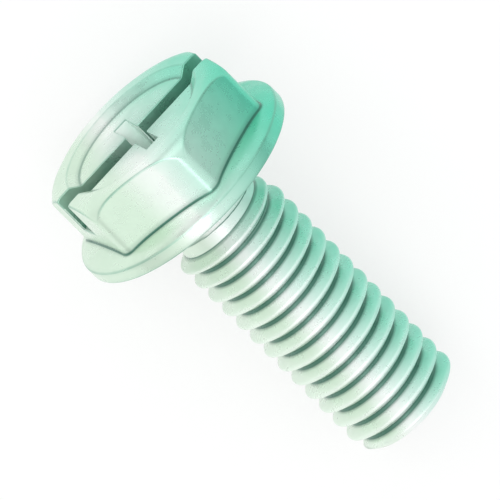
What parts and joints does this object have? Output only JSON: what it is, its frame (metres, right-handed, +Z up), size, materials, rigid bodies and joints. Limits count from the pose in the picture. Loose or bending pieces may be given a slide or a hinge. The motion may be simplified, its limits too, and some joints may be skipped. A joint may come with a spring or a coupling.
{
  "type": "hex washer head machine screw",
  "caption": "Machine screw with an indented hexagon head, an integral washer, a slot with a cross recess, and a right-hand thread up to a plain neck.",
  "frame": {"origin": "on the ground under the middle of the screw's box, where it lies on the edge of its flange and on a thread crest near the point", "axes": "+Z up; the point is towards +X and the head towards -X; the screw's own axis lies in the XZ plane, 11.64 degrees from level with the head higher; +Y is across it"},
  "size_m": [0.0168, 0.0098, 0.0097],
  "materials": {
    "green_zinc": "satin"
  },
  "bodies": {
    "root": {"screw": "green_zinc"}
  },
  "joints": []
}
